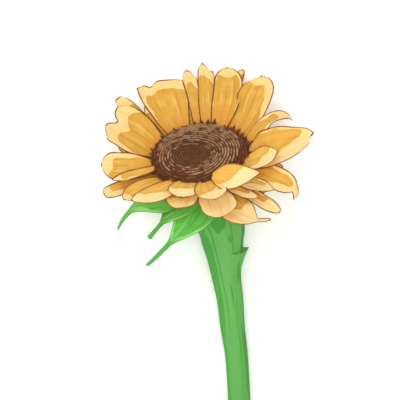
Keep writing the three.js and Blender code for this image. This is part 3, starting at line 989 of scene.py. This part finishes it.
def plant(tree, model, finish, points, turn, scale):
    """A copy of the model on every point, made real and given its finish."""
    shape = add(tree, "GeometryNodeObjectInfo", {"Object": model})
    planted = add(tree, "GeometryNodeInstanceOnPoints", {
        "Points": points, "Instance": shape.outputs["Geometry"], "Rotation": turn, "Scale": scale})
    real = add(tree, "GeometryNodeRealizeInstances", {"Geometry": planted.outputs[0]})
    finished = add(tree, "GeometryNodeSetMaterial", {
        "Geometry": real.outputs[0], "Material": finish})
    return finished.outputs[0]


# %% Floret tree
SKIPPED_STEPS, ROW_SHIFT, DROP_HEIGHT = 4.0, 5.3, 30.0


def floret_tree():
    tree, o, result = open_tree("GeometryNodeTree", "Spiral of florets", {
        "Bed": "NodeSocketGeometry", "Count": 1500, "Row width": 2.8, "Step": 2.3, "Eye X": -8.0,
        "Eye Y": -10.0, "Disc radius": 48.5, "Rim X": -1.0, "Rim from": 0.0, "Rim to": 60.0,
        "Inner radius": 0.0, "Outer radius": 50.0, "Tone from": 0.0, "Tone to": 1.0,
        "Run length": 14.0, "Smallest": 0.8, "Largest": 1.15, "Lean": 0.2, "Stretch": 1.3, "Seed": 1,
        "Floret": "NodeSocketObject", "Finish": "NodeSocketMaterial"}, ("Florets",), "NodeSocketGeometry")

    index = calc(tree, "ADD", add(tree, "GeometryNodeInputIndex").outputs[0], SKIPPED_STEPS)
    walked = times(tree, times(tree, index, o["Step"]), 4 * math.pi)
    theta = calc(tree, "SQRT", calc(tree, "DIVIDE", walked, o["Row width"]))
    radius = calc(tree, "DIVIDE", times(tree, theta, o["Row width"]), 2 * math.pi)
    east, north = polar(tree, radius, theta, o["Eye X"], o["Eye Y"])
    from_middle = reach_of(tree, east, north)
    from_rim_eye = reach_of(tree, calc(tree, "SUBTRACT", east, o["Rim X"]), north)
    cloud = add(tree, "GeometryNodePoints", {
        "Count": o["Count"], "Position": xyz(tree, east, north, DROP_HEIGHT)})

    row = calc(tree, "FLOOR", calc(tree, "DIVIDE", theta, 2 * math.pi))
    arc = calc(tree, "DIVIDE", times(tree, theta, radius), o["Run length"])
    tone = noise(tree, xyz(tree, times(tree, row, ROW_SHIFT), arc), 1.0)
    kept = calc(tree, "LESS_THAN", from_middle, o["Disc radius"])
    for value, low, high in ((tone, "Tone from", "Tone to"), (radius, "Inner radius", "Outer radius"),
                             (from_rim_eye, "Rim from", "Rim to")):
        for test, bound in (("GREATER_THAN", low), ("LESS_THAN", high)):
            kept = times(tree, kept, calc(tree, test, value, o[bound]))
    points, around = remember(tree, cloud.outputs[0], "bearing", theta)
    drop = add(tree, "GeometryNodeDeleteGeometry", {
        "Geometry": points, "Selection": calc(tree, "SUBTRACT", 1.0, kept)})
    fall = add(tree, "GeometryNodeRaycast", {
        "Target Geometry": o["Bed"], "Source Position": add(tree, "GeometryNodeInputPosition").outputs[0],
        "Ray Direction": (0, 0, -1), "Ray Length": 100.0})
    seat = add(tree, "GeometryNodeSetPosition", {
        "Geometry": drop.outputs[0], "Position": fall.outputs["Hit Position"]})
    stand = add(tree, "FunctionNodeAlignRotationToVector", axis="Z", inputs={
        "Rotation": xyz(tree, z=around), "Vector": xyz(tree, *polar(tree, o["Lean"], around), 1.0)})
    size = random_between(tree, o["Smallest"], o["Largest"], o["Seed"])
    scale = xyz(tree, size, times(tree, size, o["Stretch"]), size)
    florets = plant(tree, o["Floret"], o["Finish"], seat.outputs[0], stand.outputs[0], scale)
    plug(tree, result[0], florets)
    return tree


FLORETS = floret_tree()
print("floret inputs:", [s.name for s in FLORETS.interface.items_tree])


# %% Grow a piece with a tree
def grow(name, host, tree, values):
    """Runs a tree on a copy of host's mesh and gives back a plain mesh in head axes."""
    carrier = put_in_scene(name + " carrier", host)
    maker = carrier.modifiers.new("grow", "NODES")
    maker.node_group = tree
    sockets = {s.name: s.identifier for s in tree.interface.items_tree if s.in_out == "INPUT"}
    for key, value in values.items():
        maker[sockets[key]] = value
    graph = bpy.context.evaluated_depsgraph_get()
    mesh = bpy.data.meshes.new_from_object(carrier.evaluated_get(graph), depsgraph=graph)
    carrier.modifiers.clear()
    bpy.data.objects.remove(carrier)
    mesh.name = name
    return put_in_scene(name, mesh)


HEAD_TO_TABLE = Matrix.Translation(Vector(HEAD_AT)) @ Matrix(HEAD.T.tolist()).to_4x4() @ Matrix.Scale(MM, 4)
bed_in_head = bed.data.copy()
bed_in_head.transform(HEAD_TO_TABLE.inverted())
print("bed for the florets:", len(bed_in_head.polygons), "faces")

# %% Disc florets
RUST = floret_material("rust floret", "713c20", "5f2f16")
RUST_LIGHT = floret_material("light rust floret", "80502e", "6f4024")
HEART = floret_material("heart floret", "6b4226", "5b371d")
HEART_LIGHT = floret_material("light heart floret", "774c29", "694124")
DARK = floret_material("dark floret", "744a2f", "623d26")
TAN = floret_material("tan floret", "9a6e4c", "8a6040")
PALE = floret_material("pale floret", "ab8562", "9c7653")
RIM_FROM, RIM_TO, FAR = 41.5, 60.0, 70.0
ZONES = (
    ("heart", BUD, (0.0, 19.0), (0.0, RIM_FROM), (("dark", HEART, 0.52), ("light", HEART_LIGHT, 1.0))),
    ("inner", BUD, (19.0, 28.0), (0.0, RIM_FROM),
     (("dark", HEART, 0.46), ("tan", TAN, 0.62), ("pale", PALE, 1.0))),
    ("ring", OPEN_FLORET, (28.0, FAR), (0.0, RIM_FROM),
     (("dark", DARK, 0.36), ("tan", TAN, 0.52), ("pale", PALE, 1.0))),
    ("rim", OPEN_FLORET, (0.0, FAR), (RIM_FROM, RIM_TO), (("rust", RUST, 0.55), ("light", RUST_LIGHT, 1.0))),
)
for zone, floret, ring, rim, tones in ZONES:
    tone_from = 0.0
    for tone, finish, tone_to in tones:
        piece = grow(f"{zone}_{tone}", bed_in_head, FLORETS, {
            "Inner radius": ring[0], "Outer radius": ring[1], "Rim from": rim[0], "Rim to": rim[1],
            "Tone from": tone_from, "Tone to": tone_to, "Floret": floret, "Finish": finish})
        piece.data.transform(HEAD_TO_TABLE)
        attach(piece, "root")
        print(piece.name, len(piece.data.polygons), "faces")
        tone_from = tone_to

# %% [markdown]
# ## Spiky rim
# Between the florets and the petals stand three rows of dry pointed scales. They hide where the
# petals are rooted and give the disc its jagged dark edge.


# %% Scale and rim tree
def scale_object():
    """A pointed dry scale: a folded diamond with some thickness, one unit long."""
    points = [(-0.38, 0, 0), (0, 0, -0.09), (0.38, 0, 0), (0, 0, 0.1),
              (-0.3, 0.45, 0), (0, 0.45, -0.10), (0.3, 0.45, 0), (0, 0.45, 0.08), (0, 1, 0.02)]
    sides = [(0, 4, 7, 3), (3, 7, 6, 2), (2, 6, 5, 1), (1, 5, 4, 0)]
    tips = [(4, 8, 7), (7, 8, 6), (6, 8, 5), (5, 8, 4)]
    return make_mesh("rim scale", points, sides + tips + [(0, 3, 2, 1)], smooth=False, shown=False)


def rim_tree():
    tree, o, result = open_tree("GeometryNodeTree", "Ring of scales", {
        "Geometry": "NodeSocketGeometry", "Count": 60, "Radius": 47.0, "Height": 1.0, "Shortest": 5.0,
        "Longest": 9.0, "Rise": 0.5, "Seed": 3, "Scale": "NodeSocketObject",
        "Finish": "NodeSocketMaterial"}, ("Rim",), "NodeSocketGeometry")
    jitter = random_between(tree, -0.4, 0.4, o["Seed"])
    spot = calc(tree, "ADD", add(tree, "GeometryNodeInputIndex").outputs[0], jitter)
    angle = calc(tree, "DIVIDE", times(tree, spot, 2 * math.pi), o["Count"])
    cloud = add(tree, "GeometryNodePoints", {
        "Count": o["Count"], "Position": xyz(tree, *polar(tree, o["Radius"], angle), o["Height"])})
    points, around = remember(tree, cloud.outputs[0], "bearing", angle)
    lift = random_between(tree, -0.25, 0.25, calc(tree, "ADD", o["Seed"], 7.0))
    turn = xyz(tree, calc(tree, "ADD", o["Rise"], lift), 0.0, calc(tree, "SUBTRACT", around, math.pi / 2))
    size = random_between(tree, o["Shortest"], o["Longest"], o["Seed"])
    plug(tree, result[0], plant(tree, o["Scale"], o["Finish"], points, turn, size))
    return tree


RIM, SCALE = rim_tree(), scale_object()
ROW_INPUTS = ("Count", "Radius", "Height", "Shortest", "Longest", "Rise", "Seed")
ROWS = (("rim_upper", 40, 45.5, 2.0, 3.0, 8.0, 0.5, 3), ("rim_lower", 46, 47.5, -2.6, 4.0, 8.0, 0.25, 5),
        ("rim_wall", 64, 48.6, -1.5, 3.0, 4.6, 1.25, 9))
for name, *sizes in ROWS:
    piece = grow(name, bed_in_head, RIM, {**dict(zip(ROW_INPUTS, sizes)), "Scale": SCALE, "Finish": RUST})
    piece.data.transform(HEAD_TO_TABLE)
    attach(piece, "root")
    print(name, len(piece.data.polygons), "faces")

# %% [markdown]
# ## The table
# A plain pale sheet under the flower, far larger than the view. It glows faintly and evenly, which
# keeps the shadows on it pale.

# %% Table
TABLE_HALF = 3
table_material = new_material("pale table", 0.9, base_color=(0.9, 0.89, 0.89, 1),
                              emission_color=(1, 0.98, 0.98, 1), emission_strength=0.15)[0]
corners = [(x * TABLE_HALF, y * TABLE_HALF, 0) for x, y in ((-1, -1), (1, -1), (1, 1), (-1, 1))]
table = make_mesh("table", corners, [(0, 1, 2, 3)])
table.data.materials.append(table_material)
print("table at z =", 0)

# %% Finish
import json
